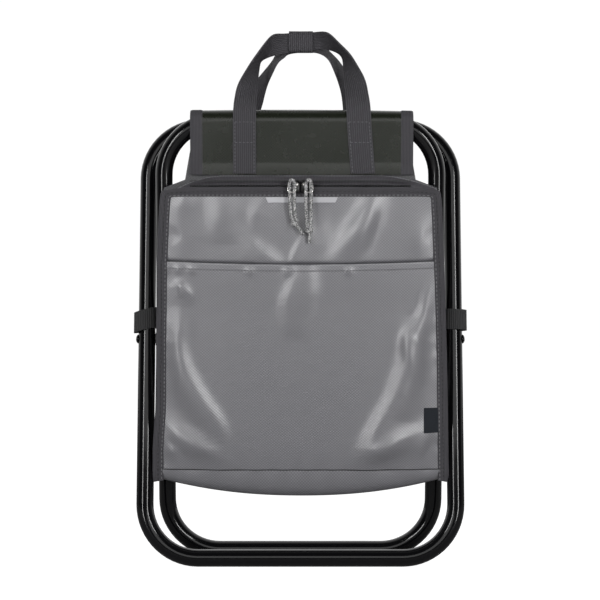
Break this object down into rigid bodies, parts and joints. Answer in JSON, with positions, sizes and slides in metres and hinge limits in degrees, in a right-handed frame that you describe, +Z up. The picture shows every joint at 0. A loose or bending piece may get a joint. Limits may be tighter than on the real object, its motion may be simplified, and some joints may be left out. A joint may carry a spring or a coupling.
{
  "type": "folding cooler stool",
  "caption": "Folding stool of crossed tube loops with a tarpaulin seat, webbing carry handles and a zipped insulated cooler bag on its front.",
  "frame": {"origin": "middle of the line where the front foot rail touches the floor", "axes": "+X to the stool's left as it faces the viewer's right hand, +Y to the back, +Z up"},
  "size_m": [0.3482, 0.1057, 0.5621],
  "materials": {
    "black_tube": "gloss black powder coat on steel tube",
    "rivet_steel": "plain steel",
    "zip_metal": "bright nickel",
    "black_plastic": "moulded black",
    "green_tarpaulin": "dark olive coated tarpaulin with a fine weave",
    "grey_tarpaulin": "grey coated tarpaulin, semi-gloss with a fine weave",
    "binding_tape": "ribbed polyester tape",
    "grey_webbing": "woven polypropylene webbing",
    "black_webbing": "black webbing",
    "white_foam": "closed-cell foam sheet",
    "silver_liner": "silver coated liner",
    "light_tab": "light grey tape",
    "navy_label": "plain woven label",
    "grey_cord": "braided cord"
  },
  "bodies": {
    "pivot_pins": {"pivot_rivet_left": "black_tube", "pivot_rivet_right": "black_tube", "pivot_washer_left": "black_plastic", "pivot_washer_right": "black_plastic"},
    "inner_frame": {"inner_frame_tube": "black_tube", "inner_frame_ferrule": "rivet_steel", "front_flap": "green_tarpaulin", "front_flap_binding_left": "binding_tape", "front_flap_binding_right": "binding_tape", "front_handle_tab_left": "grey_webbing", "front_handle_tab_right": "grey_webbing", "hanger_panel": "binding_tape", "bag_back_panel": "binding_tape", "bag_back_foam": "white_foam", "bag_back_liner": "silver_liner", "bag_gusset_left": "binding_tape", "bag_gusset_right": "binding_tape", "bag_bottom_panel": "grey_tarpaulin", "bag_bottom_foam": "white_foam", "bag_top_strip": "binding_tape"},
    "outer_frame": {"outer_frame_tube": "black_tube", "outer_frame_ferrule": "rivet_steel", "side_strap_left": "black_webbing", "side_strap_right": "black_webbing"},
    "seat_front": {"seat_front_half": "green_tarpaulin", "seat_front_binding_left": "binding_tape", "seat_front_binding_right": "binding_tape"},
    "seat_rear": {"seat_rear_half": "green_tarpaulin", "seat_rear_binding_left": "binding_tape", "seat_rear_binding_right": "binding_tape"},
    "rear_flap": {"rear_flap": "green_tarpaulin", "rear_flap_binding_left": "binding_tape", "rear_flap_binding_right": "binding_tape", "rear_handle_tab_left": "grey_webbing", "rear_handle_tab_right": "grey_webbing"},
    "front_handle": {"front_handle": "grey_webbing", "grip_wrap": "grey_webbing"},
    "rear_handle": {"rear_handle": "grey_webbing"},
    "bag_front": {"bag_front_liner": "silver_liner", "bag_front_foam": "white_foam", "bag_front_panel": "grey_tarpaulin", "bag_pocket_panel": "grey_tarpaulin", "bag_pocket_hem": "grey_tarpaulin", "bag_binding_left": "binding_tape", "bag_binding_right": "binding_tape", "bag_binding_top": "binding_tape", "zip_tape_front": "black_webbing", "zip_tape_rear": "black_webbing", "zip_coil": "black_plastic", "front_tab": "light_tab", "side_label": "navy_label"},
    "zip_slider_left": {"zip_slider_left": "zip_metal"},
    "zip_slider_right": {"zip_slider_right": "zip_metal"},
    "zip_pull_left": {"zip_bail_left": "zip_metal", "zip_cord_left": "grey_cord"},
    "zip_pull_right": {"zip_bail_right": "zip_metal", "zip_cord_right": "grey_cord"}
  },
  "joints": [
    {"name": "inner_fold", "type": "hinge", "parent": "pivot_pins", "child": "inner_frame", "pos_m": [0, 0.028, 0.23628], "axis": [1, 0, 0], "range_deg": [0, 25], "deforming": ["seat_front_half", "seat_front_binding_left", "seat_front_binding_right", "seat_rear_half", "seat_rear_binding_left", "seat_rear_binding_right"]},
    {"name": "outer_fold", "type": "hinge", "parent": "pivot_pins", "child": "outer_frame", "pos_m": [0, 0.028, 0.23628], "axis": [1, 0, 0], "range_deg": [-25, 0]},
    {"name": "seat_front_swing", "type": "hinge", "parent": "inner_frame", "child": "seat_front", "pos_m": [0, 0, 0.46356], "axis": [1, 0, 0], "range_deg": [0, 50]},
    {"name": "seat_rear_swing", "type": "hinge", "parent": "outer_frame", "child": "seat_rear", "pos_m": [0, 0.056, 0.46356], "axis": [1, 0, 0], "range_deg": [-50, 0]},
    {"name": "rear_flap_hang", "type": "hinge", "parent": "outer_frame", "child": "rear_flap", "pos_m": [0, 0.056, 0.46356], "axis": [1, 0, 0], "range_deg": [0, 25]},
    {"name": "front_handle_swing", "type": "hinge", "parent": "inner_frame", "child": "front_handle", "pos_m": [0, -0.01188, 0.46009], "axis": [1, 0, 0], "range_deg": [0, 100], "deforming": ["grip_wrap"]},
    {"name": "rear_handle_swing", "type": "hinge", "parent": "rear_flap", "child": "rear_handle", "pos_m": [0, 0.06822, 0.46156], "axis": [-1, 0, 0], "range_deg": [0, 100]},
    {"name": "bag_expand", "type": "slide", "parent": "inner_frame", "child": "bag_front", "axis": [0, -0.9925, -0.1223], "range_m": [0, 0.09], "deforming": ["bag_gusset_left", "bag_gusset_right", "bag_bottom_panel", "bag_bottom_foam", "bag_top_strip"]},
    {"name": "zip_left_slide", "type": "slide", "parent": "bag_front", "child": "zip_slider_left", "axis": [-1, 0, 0], "range_m": [0, 0.098]},
    {"name": "zip_right_slide", "type": "slide", "parent": "bag_front", "child": "zip_slider_right", "axis": [1, 0, 0], "range_m": [0, 0.098]},
    {"name": "zip_left_pull", "type": "hinge", "parent": "zip_slider_left", "child": "zip_pull_left", "pos_m": [-0.0087, -0.03354, 0.40482], "axis": [-1, 0, 0], "range_deg": [0, 80]},
    {"name": "zip_right_pull", "type": "hinge", "parent": "zip_slider_right", "child": "zip_pull_right", "pos_m": [0.0087, -0.03354, 0.40482], "axis": [-1, 0, 0], "range_deg": [0, 80]}
  ],
  "couplings": [
    {"joint": "outer_fold", "follows": "inner_fold", "ratio": -1},
    {"joint": "seat_front_swing", "follows": "inner_fold", "ratio": 2},
    {"joint": "seat_rear_swing", "follows": "inner_fold", "ratio": -2},
    {"joint": "rear_flap_hang", "follows": "inner_fold", "ratio": 1}
  ]
}
